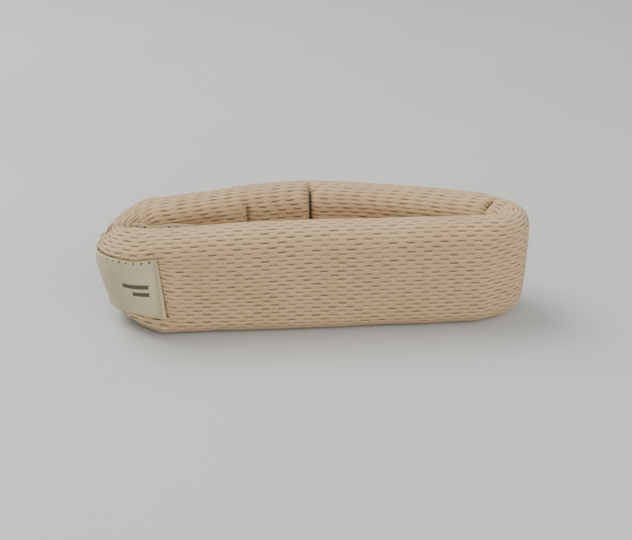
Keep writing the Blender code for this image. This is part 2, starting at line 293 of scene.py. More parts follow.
def cover_grid():
    """The cover's points without knit, the same before swelling, their directions, stretch, and how dark its
    creases are painted as shade.
    """
    s = ALONG[:, None]
    out = np.cos(FACING)[None, :]
    up = np.sin(FACING)[None, :]
    across = ACROSS[None, :] / (BAND_THICKNESS / 2)
    high = (HEIGHT[None, :] - BAND_HEIGHT / 2) / (BAND_HEIGHT / 2)
    outer, inner, top = np.clip(out, 0, 1), np.clip(-out, 0, 1), np.clip(up, 0, 1)
    at = {name: ALONG[index] for name, index in PLACE.items()}

    left_turn = plateau(s, 0, at["left_fold_end"] - 4 * MM, 7 * MM)
    right_turn = plateau(s, at["right_fold_start"] + 3 * MM, at["right_fold_end"] - 4 * MM, 8 * MM)
    near_end = np.minimum(s, BAND_LENGTH - s)
    pinch = end_pinch(near_end)

    # Both ends of the band are pinched thin, their tops fall away and their outer sides lean in below.
    side_share = (across + 1) / 2
    lean = END_LEAN * np.clip(LEAN_BELOW - HEIGHT[None, :], 0, None) * (1 - ramp(near_end, 10 * MM, 24 * MM))
    offset = ACROSS[None, :] * (1 - INNER_PINCH * pinch * (across < 0)) - lean * side_share
    upper = np.clip((HEIGHT[None, :] - 8 * MM) / (BAND_HEIGHT - 8 * MM), 0, 1)
    front_fall = (1 - ramp(s, 0, 15 * MM)) * FRONT_END_FALL
    back_fall = (1 - ramp(BAND_LENGTH - s, 0, 15 * MM)) * BACK_END_FALL
    low_side = LEFT_SIDE_FALL * (1 - ramp(s, 8 * MM, at["front_middle"]))
    outer_side = np.clip(across, 0, 1) ** 1.5
    fold_fall = FOLD_SHOULDER_FALL * left_turn * outer_side
    level = HEIGHT[None, :] - (front_fall + back_fall + low_side + fold_fall) * upper
    level = level + (1.6 * left_turn + 0.8 * right_turn) * MM * outer_side * ramp(-high, 0.3, 1.0)
    level = level + 3.0 * MM * pinch * ramp(-high, 0.2, 1.0)

    base = np.zeros((len(ALONG), len(AROUND), 3))
    facing = np.zeros_like(base)
    base[..., 0] = MIDDLES[:, 0, None] + OUTWARD[:, 0, None] * offset
    base[..., 1] = MIDDLES[:, 1, None] + OUTWARD[:, 1, None] * offset
    base[..., 2] = level
    facing[..., 0] = OUTWARD[:, 0, None] * out
    facing[..., 1] = OUTWARD[:, 1, None] * out
    facing[..., 2] = up

    turning = np.gradient(np.unwrap(np.arctan2(OUTWARD[:, 1], OUTWARD[:, 0])), ALONG)
    stretch = 1 + turning[:, None] * ACROSS[None, :]
    free_inner = 1 - plateau(s, at["right_hinge"] + 2 * MM, at["right_fold_end"] + 6 * MM, 14 * MM)

    swell = OUTER_SWELL * outer * (1 - high ** 2) + INNER_SWELL * inner * (1 - high ** 2) * free_inner
    swell = swell + TOP_SWELL * top * (1 - across ** 2)
    corners = np.abs(out * up) * 2
    swell = swell - 0.9 * MM * left_turn * corners * (out > 0)
    swell = swell + 0.5 * MM * right_turn * corners * (out > 0) * (up > 0)
    swell = swell - RIGHT_FOLD_PULL * right_turn * outer
    swell = swell + 0.7 * MM * hump(s, at["right_fold_end"] + 7 * MM, 4 * MM) * inner * ramp(high, -0.2, 0.6)

    # The creases are grooves on the inner face. The deep one runs out over the top.
    def groove(place, width, stops_short):
        slit = np.exp(-np.abs(s - place) / width)
        shoulder = hump(np.abs(s - place), 5.0 * MM, 3.0 * MM)
        over_top = top * 0.45 * (1 - stops_short) * (1 - across) / 2
        reach = inner * (1 - ramp(high, 0.75, 1.05) * stops_short) + over_top
        return slit * reach, shoulder * inner

    deep, deep_sides = groove(at["deep_crease"], 1.3 * MM, 0.0)
    shallow, shallow_sides = groove(at["shallow_crease"], 1.5 * MM, 1.0)
    swell = swell - DEEP_CREASE_DEPTH * deep - SHALLOW_CREASE_DEPTH * shallow
    swell = swell + 0.7 * MM * deep_sides + 0.4 * MM * shallow_sides

    # A tuck is pressed into the top beside the right fold.
    fold_slit = np.exp(-segment_distance(base, FOLD_TUCK) / (0.6 * MM))
    fold_reach = np.broadcast_to(ramp(up, 0.2, 0.9), fold_slit.shape)
    swell = swell - TUCK_DEPTH * fold_slit * fold_reach
    swell = swell + 0.5 * MM * hump(s, at["right_fold_end"] + 6 * MM, 3 * MM) * top

    # The sewn tape pulls the cover in, and the cover puffs up round it.
    past_label = s - at["label_end"] + LABEL_SLANT * (HEIGHT[None, :] - BAND_HEIGHT / 2)
    tape_middle = STRAP_ABOVE_MIDDLE / (BAND_HEIGHT / 2)
    tape_half = STRAP_WIDTH / BAND_HEIGHT
    from_edge = (np.abs(high - tape_middle) - tape_half) * BAND_HEIGHT / 2
    under = (1 - ramp(from_edge, -0.8 * MM, 0.8 * MM)) * (1 - ramp(past_label, -0.4 * MM, 1.0 * MM))
    beside = hump(from_edge, 2.6 * MM, 2.2 * MM) * (1 - ramp(s, at["label_end"], at["label_end"] + 5 * MM))
    swell = swell - TAPE_PULL * under * outer + TAPE_PUFF * beside * outer
    end_puff = hump(s, at["label_end"] + 4.0 * MM, 2.6 * MM) * (1 - ramp(from_edge, -1 * MM, 3 * MM))
    swell = swell + TAPE_PUFF * end_puff * outer
    end_gap = np.exp(-np.abs(past_label - 0.45 * MM) / (0.3 * MM))
    end_gap = end_gap * (1 - ramp(from_edge, -0.8 * MM, 0.3 * MM)) * outer
    swell = swell - 0.6 * MM * end_gap
    backing_end = at["wall_end"] - BACKING_LENGTH
    tape_wall = ramp(s, backing_end - 1 * MM, backing_end + 2 * MM)
    swell = swell - 0.5 * MM * tape_wall * inner * (1 - ramp(from_edge, -0.8 * MM, 0.8 * MM))
    swell = swell + 0.8 * MM * tape_wall * inner * hump(high, 0.86, 0.16)

    # Gathers at the two ends, and the hand-sewn unevenness everywhere.
    gathers = np.cos(AROUND[None, :] / GATHER_PITCH * 2 * math.pi + 1.3 * np.sin(s / MM))
    swell = swell + GATHER_RELIEF * pinch * gathers
    give = np.clip(stretch, 0.1, 1)
    swell = swell + WIDE_UNEVENNESS * soft_noise(base, 0.021, 3.7) * give
    swell = swell + FINE_UNEVENNESS * soft_noise(base, 0.0065, 9.1) * give
    smooth = base + facing * swell[..., None]

    rounding = np.sqrt(np.clip(1 - (1 - np.clip(near_end / END_ROUNDING, 0, 1)) ** 2, 0.02, 1))
    centre = smooth.mean(axis=1, keepdims=True)
    smooth = centre + (smooth - centre) * rounding[..., None]
    # Painted shade: the creases, the tuck and the gap past the label are darkened in colour, and the pinched
    # ends a little.
    slits = 0.8 * fold_slit * fold_reach + 0.8 * end_gap
    crease = np.clip(deep + 0.7 * shallow * (high < 0.8) + slits, 0, 1)
    crease = np.clip(crease + 0.35 * pinch ** 4, 0, 1)
    return smooth, base, facing, stretch, crease


def segment_distance(points, segment):
    """How far points are in plan from a segment."""
    start, end = (np.array(place) for place in segment)
    way = end - start
    share = np.clip(((points[..., :2] - start) @ way) / (way @ way), 0, 1)
    return np.linalg.norm(points[..., :2] - start - share[..., None] * way, axis=-1)


def knit_coordinates(smooth):
    """Each point's place in the knit, in millimetres: along its row from the front's middle, and across."""
    steps = np.linalg.norm(np.diff(smooth, axis=0), axis=2)
    run = np.concatenate((np.zeros((1, len(AROUND))), np.cumsum(steps, axis=0)))
    run = (run - run[PLACE["front_middle"]]) / MM
    s, rows = ALONG[:, None], AROUND[None, :] / MM
    high = (HEIGHT[None, :] - BAND_HEIGHT / 2) / (BAND_HEIGHT / 2)
    label = ALONG[PLACE["label_end"]]
    drawn = np.exp(-np.clip(s - label, 0, None) / (6 * MM)) * plateau(high, -0.62, 0.42, 0.25)
    drawn = drawn * (np.cos(FACING) > 0.7)
    warp = 0.26 * soft_noise(smooth, 0.024, 21.3) + 0.10 * soft_noise(smooth, 0.007, 5.9)
    return run, rows + warp - 1.9 * drawn


SMOOTH, PLAIN, FACES_OUT, STRETCH, CREASE_SHADE = cover_grid()
KNIT_U, KNIT_W = knit_coordinates(SMOOTH)


def knit_relief():
    """How far the knit's rows and slits stand above or below the cover."""
    row = KNIT_W / ROW_PITCH
    line = np.floor(row + 0.5)
    from_line = np.abs(row - line) * ROW_PITCH
    rows = np.cos((row - line) * 2 * math.pi)
    along = KNIT_U / SLIT_PERIOD + (line % 2) * 0.5
    from_slit = np.abs(along - np.floor(along) - 0.5) * SLIT_PERIOD
    slit = 1 - ramp(from_slit, SLIT_LENGTH / 2 - 0.3, SLIT_LENGTH / 2 + 0.3)
    slit = slit * (1 - ramp(from_line, 0.1, 0.55))
    return (-ROW_RELIEF * rows - SLIT_DEPTH * slit) * np.clip(STRETCH, 0, 1)


def grid_normals(grid):
    along = np.gradient(grid, axis=0)
    around = np.roll(grid, -1, axis=1) - np.roll(grid, 1, axis=1)
    normals = np.cross(along, around)
    lengths = np.linalg.norm(normals, axis=2, keepdims=True)
    normals = normals / np.maximum(lengths, 1e-12)
    if (normals * FACES_OUT).sum() < 0:
        normals = -normals
    return normals


COVER = SMOOTH + FACES_OUT * knit_relief()[..., None]
COVER[..., 2] = np.maximum(COVER[..., 2], 0.0)
COVER_NORMALS = grid_normals(COVER)
SMOOTH_NORMALS = grid_normals(SMOOTH)


def put(name, mesh, material):
    mesh.materials.append(material)
    obj = bpy.data.objects.new(name, mesh)
    bpy.context.scene.collection.objects.link(obj)
    return obj


def cover_length(name, first, last, material):
    """One length of the padded cover between two stations, closed at both ends."""
    rings = last - first + 1
    ring = len(AROUND)
    points = COVER[first:last + 1].reshape(-1, 3)
    normals = COVER_NORMALS[first:last + 1].reshape(-1, 3)
    i, j = np.meshgrid(np.arange(rings - 1), np.arange(ring), indexing="ij")
    following = (j + 1) % ring
    quads = np.stack((i * ring + j, (i + 1) * ring + j, (i + 1) * ring + following, i * ring + following), 2)
    quads = quads.reshape(-1, 4)
    ends = np.array((COVER[first].mean(axis=0), COVER[last].mean(axis=0)))
    turn = np.arange(ring)
    start_cap = np.stack((turn, np.roll(turn, -1), np.full(ring, rings * ring)), 1)
    end_cap = np.stack((np.roll(turn, -1), turn, np.full(ring, rings * ring + 1)), 1)
    end_cap[:, :2] += (rings - 1) * ring
    faces = quads.tolist() + start_cap.tolist() + end_cap.tolist()
    mesh = bpy.data.meshes.new(name)
    mesh.from_pydata(np.concatenate((points, ends)).tolist(), [], faces)

    u, w = KNIT_U[first:last + 1], KNIT_W[first:last + 1]
    wrapped = np.where(following == 0, GIRTH / MM, 0)
    coords = np.stack((
        np.stack((u[i, j], w[i, j]), 2),
        np.stack((u[i + 1, j], w[i + 1, j]), 2),
        np.stack((u[i + 1, following], w[i + 1, following] + wrapped), 2),
        np.stack((u[i, following], w[i, following] + wrapped), 2),
    ), 2).reshape(-1, 2)
    caps = np.zeros((ring * 6, 2))
    layer = mesh.uv_layers.new(name="knit")
    layer.data.foreach_set("uv", np.concatenate((coords, caps)).astype(np.float32).ravel())
    # Painted shade: how far each point's colour is darkened in the creases and at the pinched ends.
    crease = mesh.attributes.new("crease", "FLOAT", "POINT")
    crease_shade_values = np.concatenate((CREASE_SHADE[first:last + 1].ravel(), (0, 0)))
    crease.data.foreach_set("value", crease_shade_values.astype(np.float32))
    mesh.shade_smooth()
    across_ends = (-SIDES[first], SIDES[last])
    mesh.normals_split_custom_set_from_vertices(np.concatenate((normals, across_ends)).tolist())
    return put(name, mesh, material)


SIDES = np.concatenate((np.stack((-OUTWARD[:, 1], OUTWARD[:, 0]), 1), np.zeros((len(ALONG), 1))), 1)


# Materials


def node(tree, kind, settings=None, **inputs):
    """Adds a node, sets it up and joins or fills its inputs, named with _ for a space or by _number."""
    made = tree.nodes.new(kind)
    for name, value in (settings or {}).items():
        setattr(made, name, value)
    for name, value in inputs.items():
        if name[1:].isdigit():
            socket = made.inputs[int(name[1:])]
        else:
            socket = made.inputs[name.replace("_", " ")]
        if isinstance(value, bpy.types.NodeSocket):
            tree.links.new(value, socket)
        else:
            socket.default_value = value
    return made


def sum_of(tree, operation, *values):
    filled = {f"_{place}": value for place, value in enumerate(values)}
    return node(tree, "ShaderNodeMath", {"operation": operation}, **filled).outputs[0]


def between(tree, value, low, high, to_low=0.0, to_high=1.0):
    made = node(tree, "ShaderNodeMapRange", {"interpolation_type": "SMOOTHSTEP"}, Value=value,
                From_Min=low, From_Max=high, To_Min=to_low, To_Max=to_high)
    return made.outputs[0]


def blend_colour(tree, share, first, second, kind="MIX"):
    setup = {"data_type": "RGBA", "blend_type": kind}
    made = node(tree, "ShaderNodeMix", setup, _0=share, _6=first, _7=second)
    return made.outputs[2]


def shader_group(name, inputs, outputs):
    """An empty shader node group with named inputs and outputs."""
    tree = bpy.data.node_groups.new(name, "ShaderNodeTree")
    for label, kind, value in inputs:
        socket = tree.interface.new_socket(label, in_out="INPUT", socket_type=kind)
        if value is not None:
            socket.default_value = value
    for label, kind in outputs:
        tree.interface.new_socket(label, in_out="OUTPUT", socket_type=kind)
    return tree, tree.nodes.new("NodeGroupInput").outputs, tree.nodes.new("NodeGroupOutput").inputs


def knit_rows_group():
    """Rows of knit with staggered slits between them. Its place is in millimetres along and across rows."""
    tree, given, result = shader_group(
        "knit_rows",
        [("Place", "NodeSocketVector", None), ("Row Pitch", "NodeSocketFloat", 1.6),
         ("Slit Period", "NodeSocketFloat", 5.9), ("Slit Length", "NodeSocketFloat", 2.9),
         ("Slit Width", "NodeSocketFloat", 0.4), ("Rib Pitch", "NodeSocketFloat", 0.62)],
        [("Height", "NodeSocketFloat"), ("Slit", "NodeSocketFloat"), ("Row Line", "NodeSocketFloat"),
         ("Rib", "NodeSocketFloat"), ("Fleck", "NodeSocketFloat")])
    wander = node(tree, "ShaderNodeTexNoise", Vector=given["Place"], Scale=0.55, Detail=2.0)
    shake = sum_of(tree, "MULTIPLY_ADD", wander.outputs[0], 0.36, -0.18)
    place = node(tree, "ShaderNodeSeparateXYZ", Vector=given["Place"]).outputs
    across = sum_of(tree, "ADD", place[1], shake)
    row = sum_of(tree, "ADD", sum_of(tree, "DIVIDE", across, given["Row Pitch"]), 0.5)
    line = sum_of(tree, "FLOOR", row)
    above_line = sum_of(tree, "SUBTRACT", sum_of(tree, "SUBTRACT", row, line), 0.5)
    above_line = sum_of(tree, "MULTIPLY", above_line, given["Row Pitch"])
    from_line = sum_of(tree, "ABSOLUTE", above_line)
    stagger = sum_of(tree, "MULTIPLY", sum_of(tree, "FLOORED_MODULO", line, 2.0), 0.5)
    luck = node(tree, "ShaderNodeTexWhiteNoise", {"noise_dimensions": "1D"}, W=line).outputs[0]
    slip = sum_of(tree, "MULTIPLY_ADD", luck, 0.14, stagger)
    along = sum_of(tree, "ADD", sum_of(tree, "DIVIDE", place[0], given["Slit Period"]), slip)
    cell = sum_of(tree, "FLOOR", along)
    from_slit = sum_of(tree, "ABSOLUTE", sum_of(tree, "SUBTRACT", sum_of(tree, "SUBTRACT", along, cell), 0.5))
    from_slit = sum_of(tree, "MULTIPLY", from_slit, given["Slit Period"])
    half_slit = sum_of(tree, "MULTIPLY", given["Slit Length"], 0.5)
    in_length = between(tree, sum_of(tree, "SUBTRACT", from_slit, half_slit), -0.45, 0.45, 1.0, 0.0)
    in_width = sum_of(tree, "DIVIDE", from_line, given["Slit Width"])
    in_width = between(tree, in_width, 0.35, 1.0, 1.0, 0.0)
    where = node(tree, "ShaderNodeCombineXYZ", X=cell, Y=line).outputs[0]
    depth = node(tree, "ShaderNodeTexWhiteNoise", {"noise_dimensions": "2D"}, Vector=where).outputs[0]
    depth = sum_of(tree, "MULTIPLY_ADD", depth, 0.5, 0.5)
    row_line = between(tree, from_line, 0.0, 0.62, 1.0, 0.0)
    rib_turn = sum_of(tree, "DIVIDE", sum_of(tree, "MULTIPLY", place[0], 2 * math.pi), given["Rib Pitch"])
    rib = sum_of(tree, "MULTIPLY_ADD", sum_of(tree, "COSINE", rib_turn), 0.5, 0.5)
    slit = sum_of(tree, "MULTIPLY", sum_of(tree, "MULTIPLY", in_length, in_width), depth)
    slit = sum_of(tree, "MULTIPLY", slit, sum_of(tree, "MULTIPLY_ADD", rib, -0.40, 1.0))
    from_thread = sum_of(tree, "ABSOLUTE", sum_of(tree, "ADD", above_line, 0.58))
    thread_line = between(tree, from_thread, 0.08, 0.34, 1.0, 0.0)
    thread_length = between(tree, sum_of(tree, "SUBTRACT", from_slit, half_slit), -0.8, 0.2, 1.0, 0.0)
    fleck = sum_of(tree, "MULTIPLY", sum_of(tree, "MULTIPLY", thread_line, thread_length), rib)
    fuzz = node(tree, "ShaderNodeTexNoise", Vector=given["Place"], Scale=2.6, Detail=3.0).outputs[0]
    height = sum_of(tree, "MULTIPLY_ADD", rib, 0.22, 0.5)
    height = sum_of(tree, "MULTIPLY_ADD", row_line, -0.45, height)
    height = sum_of(tree, "MULTIPLY_ADD", slit, -0.6, height)
    height = sum_of(tree, "MULTIPLY_ADD", fuzz, 0.35, height)
    found = {"Height": height, "Slit": slit, "Row Line": row_line, "Rib": rib, "Fleck": fleck}
    for label, value in found.items():
        tree.links.new(value, result[label])
    return tree


def tape_weave_group():
    """A plain woven tape: fine ribs across its width, crossed by finer warp lines, placed in millimetres."""
    tree, given, result = shader_group(
        "tape_weave",
        [("Place", "NodeSocketVector", None), ("Rib Pitch", "NodeSocketFloat", 0.6),
         ("Warp Pitch", "NodeSocketFloat", 0.35)],
        [("Height", "NodeSocketFloat"), ("Shade", "NodeSocketFloat")])
    wander = node(tree, "ShaderNodeTexNoise", Vector=given["Place"], Scale=1.2, Detail=3.0)
    place = node(tree, "ShaderNodeSeparateXYZ", Vector=given["Place"]).outputs
    shake = sum_of(tree, "MULTIPLY", wander.outputs[0], 0.3)

    def wave(distance, pitch):
        shaken = sum_of(tree, "ADD", distance, shake)
        turn = sum_of(tree, "DIVIDE", sum_of(tree, "MULTIPLY", shaken, 2 * math.pi), pitch)
        return sum_of(tree, "MULTIPLY_ADD", sum_of(tree, "COSINE", turn), 0.5, 0.5)

    woven = sum_of(tree, "MULTIPLY", wave(place[0], given["Rib Pitch"]), wave(place[1], given["Warp Pitch"]))
    height = sum_of(tree, "MULTIPLY_ADD", wander.outputs[0], 0.5, woven)
    tree.links.new(height, result["Height"])
    tree.links.new(woven, result["Shade"])
    return tree


def blank_material(name, roughness, sheen=0.0):
    """A new material's tree and shader. Values that are the same all over are set on the shader itself."""
    material = bpy.data.materials.new(name)
    material.use_nodes = True
    shader = material.node_tree.nodes["Principled BSDF"]
    shader.inputs["Roughness"].default_value = roughness
    shader.inputs["Sheen Weight"].default_value = sheen
    shader.inputs["Sheen Roughness"].default_value = 0.6
    shader.inputs["Specular IOR Level"].default_value = 0.25
    return material, material.node_tree, shader


def bump(tree, shader, height, distance, strength=1.0):
    made = node(tree, "ShaderNodeBump", Height=height, Distance=distance, Strength=strength)
    tree.links.new(made.outputs[0], shader.inputs["Normal"])


def knit_material():
    material, tree, shader = blank_material("knit_beige", 0.9, 0.15)
    uv = node(tree, "ShaderNodeUVMap", {"uv_map": "knit"}).outputs[0]
    knit = node(tree, "ShaderNodeGroup", {"node_tree": KNIT_ROWS}, Place=uv, Row_Pitch=ROW_PITCH,
                Slit_Period=SLIT_PERIOD, Slit_Length=SLIT_LENGTH, Slit_Width=SLIT_WIDTH).outputs
    place = node(tree, "ShaderNodeTexCoord").outputs["Object"]
    patches = node(tree, "ShaderNodeTexNoise", Vector=place, Scale=38.0, Detail=3.0, Roughness=0.55)
    patches = patches.outputs[0]
    blush = node(tree, "ShaderNodeTexNoise", Vector=place, Scale=17.0, Detail=1.0).outputs[0]
    mottle = node(tree, "ShaderNodeTexNoise", Vector=uv, Scale=1.7, Detail=4.0, Roughness=0.8).outputs[0]
    colour = blend_colour(tree, between(tree, patches, 0.35, 0.68), KNIT_LIGHT, KNIT_DEEP)
    colour = blend_colour(tree, between(tree, blush, 0.50, 0.72, 0.0, 0.55), colour, KNIT_BLUSH)
    colour = blend_colour(tree, between(tree, mottle, 0.36, 0.66, 0.0, 0.62), colour, KNIT_SHADE)
    lift = sum_of(tree, "MULTIPLY_ADD", knit["Rib"], 0.30, sum_of(tree, "MULTIPLY", knit["Fleck"], 0.85))
    colour = blend_colour(tree, lift, colour, KNIT_FLECK)
    # Painted shade: the grooves between rows are darkened a little.
    colour = blend_colour(tree, sum_of(tree, "MULTIPLY", knit["Row Line"], 0.20), colour, KNIT_ROW_SHADE)
    # Painted shadow: the slits between rows are darkened to near black where the rows' edges shade them.
    colour = blend_colour(tree, sum_of(tree, "MULTIPLY", knit["Slit"], 1.0), colour, KNIT_SLIT_SHADOW)
    # Painted shade in the creases, the tuck, the gap past the label and the pinched ends, read from the point
    # attribute.
    crease = node(tree, "ShaderNodeAttribute", {"attribute_name": "crease"}).outputs["Fac"]
    colour = blend_colour(tree, between(tree, crease, 0.12, 0.95, 0.0, 0.85), colour, KNIT_CREASE_SHADE)
    tree.links.new(colour, shader.inputs["Base Color"])
    tree.links.new(between(tree, knit["Slit"], 0.0, 1.0, 0.86, 0.98), shader.inputs["Roughness"])
    bump(tree, shader, knit["Height"], 0.22 * MM, 0.8)
    return material


def tape_material(name, light, deep, rib_pitch, mark=False):
    material, tree, shader = blank_material(name, 0.75, 0.1)
    uv = node(tree, "ShaderNodeUVMap", {"uv_map": "tape"}).outputs[0]
    weave = node(tree, "ShaderNodeGroup", {"node_tree": TAPE_WEAVE}, Place=uv, Rib_Pitch=rib_pitch).outputs
    place = node(tree, "ShaderNodeTexCoord").outputs["Object"]
    patches = node(tree, "ShaderNodeTexNoise", Vector=place, Scale=90.0, Detail=4.0).outputs[0]
    colour = blend_colour(tree, between(tree, patches, 0.3, 0.7), light, deep)
    colour = blend_colour(tree, sum_of(tree, "MULTIPLY", weave["Shade"], 0.10), colour, TAPE_FLECK)
    if mark:
        colour = blend_colour(tree, printed_mark(tree, uv), colour, PRINT_DARK)
    tree.links.new(colour, shader.inputs["Base Color"])
    tree.links.new(between(tree, patches, 0.2, 0.8, 0.62, 0.8), shader.inputs["Roughness"])
    bump(tree, shader, weave["Height"], 0.05 * MM, 0.6)
    return material


def printed_mark(tree, uv):
    """Two plain printed stripes, a long one over a short one, which spell nothing."""
    place = node(tree, "ShaderNodeSeparateXYZ", Vector=uv).outputs

    def within(value, half):
        from_middle = sum_of(tree, "ABSOLUTE", value)
        return between(tree, from_middle, half - PRINT_EDGE, half + PRINT_EDGE, 1.0, 0.0)

    print_mask = None
    for length, height in STRIPES:
        along = sum_of(tree, "SUBTRACT", place[0], STRIPE_START - length / 2)
        above = sum_of(tree, "SUBTRACT", place[1], height)
        stripe = sum_of(tree, "MULTIPLY", within(along, length / 2), within(above, STRIPE_WIDTH / 2))
        print_mask = stripe if print_mask is None else sum_of(tree, "MAXIMUM", print_mask, stripe)
    return sum_of(tree, "MULTIPLY", print_mask, 0.9)


def plain_material(name, light, deep, roughness, scale, relief, sheen=0.0):
    """A finish with no weave: two shades that wander, and a fine grain."""
    material, tree, shader = blank_material(name, roughness, sheen)
    place = node(tree, "ShaderNodeTexCoord").outputs["Object"]
    patches = node(tree, "ShaderNodeTexNoise", Vector=place, Scale=scale, Detail=4.0, Roughness=0.6)
    patches = patches.outputs[0]
    colour = blend_colour(tree, between(tree, patches, 0.3, 0.7), light, deep)
    tree.links.new(colour, shader.inputs["Base Color"])
    wander = between(tree, patches, 0.2, 0.8, roughness - 0.08, roughness + 0.05)
    tree.links.new(wander, shader.inputs["Roughness"])
    bump(tree, shader, patches, relief)
    return material


KNIT_LIGHT = (0.581, 0.392, 0.204, 1)
KNIT_DEEP = (0.504, 0.331, 0.169, 1)
KNIT_BLUSH = (0.581, 0.366, 0.198, 1)
KNIT_SHADE = (0.426, 0.284, 0.146, 1)
KNIT_FLECK = (0.801, 0.574, 0.336, 1)
# Painted shade in the grooves between rows.
KNIT_ROW_SHADE = (0.33, 0.225, 0.115, 1)
# Painted shadow in the knit's slits.
KNIT_SLIT_SHADOW = (0.070, 0.048, 0.026, 1)
# Painted shade in the creases.
KNIT_CREASE_SHADE = (0.055, 0.028, 0.015, 1)
TAPE_LIGHT = (0.582, 0.508, 0.308, 1)
TAPE_DEEP = (0.495, 0.429, 0.251, 1)
TAPE_FLECK = (0.693, 0.632, 0.45, 1)
PRINT_DARK = (0.035, 0.030, 0.024, 1)
PRINT_EDGE = 0.12
STRIPE_START = -4.5
STRIPE_WIDTH = 1.7
STRIPES = ((9.5, 1.5), (6.0, -1.5))

KNIT_ROWS = knit_rows_group()
TAPE_WEAVE = tape_weave_group()
KNIT = knit_material()
TAPE = tape_material("tape_cream", TAPE_LIGHT, TAPE_DEEP, 0.6)
LABEL = tape_material("label_cream", TAPE_LIGHT, TAPE_DEEP, 0.45, mark=True)
THREAD = plain_material("thread_cream", (0.62, 0.52, 0.36, 1),
                        (0.50, 0.41, 0.27, 1), 0.7, 900.0, 0.05 * MM, 0.2)
# Painted shade: a near-black finish for blobs that stand for the shadow in needle holes.
NEEDLE_HOLE_SHADE = plain_material("needle_hole_shade", (0.07, 0.045, 0.03, 1),
                             (0.045, 0.03, 0.02, 1), 0.9, 900.0, 0.02 * MM)
PILE = plain_material("loop_pile_white", (0.66, 0.62, 0.53, 1),
                      (0.55, 0.51, 0.42, 1), 0.9, 600.0, 0.05 * MM, 0.3)
HOOKS = plain_material("hook_nylon_white", (0.70, 0.67, 0.60, 1),
                       (0.60, 0.57, 0.49, 1), 0.45, 400.0, 0.02 * MM)

# The cover's lengths, each between two stations.

LENGTHS = (
    ("cover_front_left", None, "front_middle", ("front_band", "left_fold"), "left_hinge", 10, -1,
     ("front_cover", "front_foam", "left_fold_cover", "left_fold_foam", "front_end_cap")),
    ("cover_front_right", "front_middle", "right_fold_middle", ("front_band", "right_fold"),
     "right_hinge", 10, 1,
     ("right_fold_cover", "right_fold_foam")),
    ("cover_back_right", "right_fold_middle", "back_middle_point", ("right_fold", "back_right"),
     "back_hinge", 8.5, 1,
     ("back_right_cover", "back_right_foam")),
    ("cover_back_middle", "back_middle_point", "between_creases", ("back_right", "back_middle"),
     "deep_crease", 8, 1,
     ("back_middle_cover", "back_middle_foam")),
    ("cover_back_left", "between_creases", None, ("back_middle", "back_left"), "shallow_crease", 5.5, 1,
     ("back_left_cover", "back_left_foam", "back_end_cap")),
)


for name, first, last, bodies, hinge, reach, way, nodes in LENGTHS:
    start = PLACE[first] if first else 0
    end = PLACE[last] if last else len(ALONG) - 1
    piece = cover_length(name, start, end, KNIT)
    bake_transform(piece)
    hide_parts(*nodes)

# Tapes. Each is laid on a grid of ground points, with the direction that faces out of the band.


def slab(name, ground, out, low, thickness, material, rounded=(True, True), hem=0.0):
    """A woven tape, low above its ground, with rounded selvedges, rounded or square ends and maybe a hem."""
    count, wide = ground.shape[:2]
    steps = np.linalg.norm(np.diff(ground[:, wide // 2], axis=0), axis=1)
    run = np.concatenate(([0], np.cumsum(steps)))
    widths = np.linalg.norm(np.diff(ground[count // 2], axis=0), axis=1)
    over = np.concatenate(([0], np.cumsum(widths)))
    edge = np.minimum(over, over[-1] - over)[None, :]
    ends = np.full((count, 1), 1.0)
    if rounded[0]:
        ends = np.minimum(ends, run[:, None] / (thickness * 0.6))
    if rounded[1]:
        ends = np.minimum(ends, (run[-1] - run)[:, None] / (thickness * 0.6))
    full = np.clip(np.minimum(edge / (thickness * 0.6), ends), 0, 1)
    half = thickness / 2 * np.sqrt(1 - (1 - full) ** 2)
    thick = np.ones((count, 1))
    if hem:
        thick = thick + 0.7 * (1 - ramp((run[-1] - run)[:, None], hem * 0.7, hem))
    middle = ground + out * (low + thickness * thick / 2)[..., None]
    top = middle + out * (half * thick)[..., None]
    base = middle - out * (half * thick)[..., None]
    points = np.concatenate((top.reshape(-1, 3), base.reshape(-1, 3)))
    size = count * wide
    i, j = np.meshgrid(np.arange(count - 1), np.arange(wide - 1), indexing="ij")
    a, b, c, d = i * wide + j, (i + 1) * wide + j, (i + 1) * wide + j + 1, i * wide + j + 1
    upper = np.stack((a, b, c, d), 2).reshape(-1, 4)
    faces = upper.tolist() + (upper[:, ::-1] + size).tolist()
    for row, open_end in ((0, not rounded[0]), (count - 1, not rounded[1])):
        if open_end:
            k = row * wide + np.arange(wide - 1)
            faces += np.stack((k, k + 1, k + 1 + size, k + size), 1).tolist()
    mesh = bpy.data.meshes.new(name)
    mesh.from_pydata(points.tolist(), [], faces)
    back = (run - run[-1])[:, None] / MM
    above = (over - over[-1] / 2)[None, :] / MM
    places = np.stack(np.broadcast_arrays(back, above), 2)
    places = np.concatenate((places.reshape(-1, 2), places.reshape(-1, 2)))
    layer = mesh.uv_layers.new(name="tape")
    corners = np.zeros(len(mesh.loops), np.int32)
    mesh.loops.foreach_get("vertex_index", corners)
    layer.data.foreach_set("uv", places[corners].astype(np.float32).ravel())
    close_seams(mesh)
    return put(name, mesh, material)


def close_seams(mesh):
    """Merges what coincides, turns the faces out and shades them smooth, apart from true edges."""
    shape = bmesh.new()
    shape.from_mesh(mesh)
    bmesh.ops.remove_doubles(shape, verts=shape.verts, dist=1e-6)
    bmesh.ops.recalc_face_normals(shape, faces=shape.faces)
    shape.to_mesh(mesh)
    shape.free()
    mesh.shade_smooth()
    mesh.set_sharp_from_angle(angle=math.radians(50))


def across_heights(width, count):
    """Heights over a tape's width, closer together at its edges."""
    middle = BAND_HEIGHT / 2 + STRAP_ABOVE_MIDDLE
    share = np.sin(np.linspace(-math.pi / 2, math.pi / 2, count))
    share = 0.6 * share + 0.4 * np.linspace(-1, 1, count)
    return middle + share * width / 2


def outer_index(heights):
    """Where those heights are round the section, on its outer face."""
    face = np.cos(FACING) > 0.05
    return np.interp(heights, HEIGHT[face], np.arange(len(AROUND))[face])


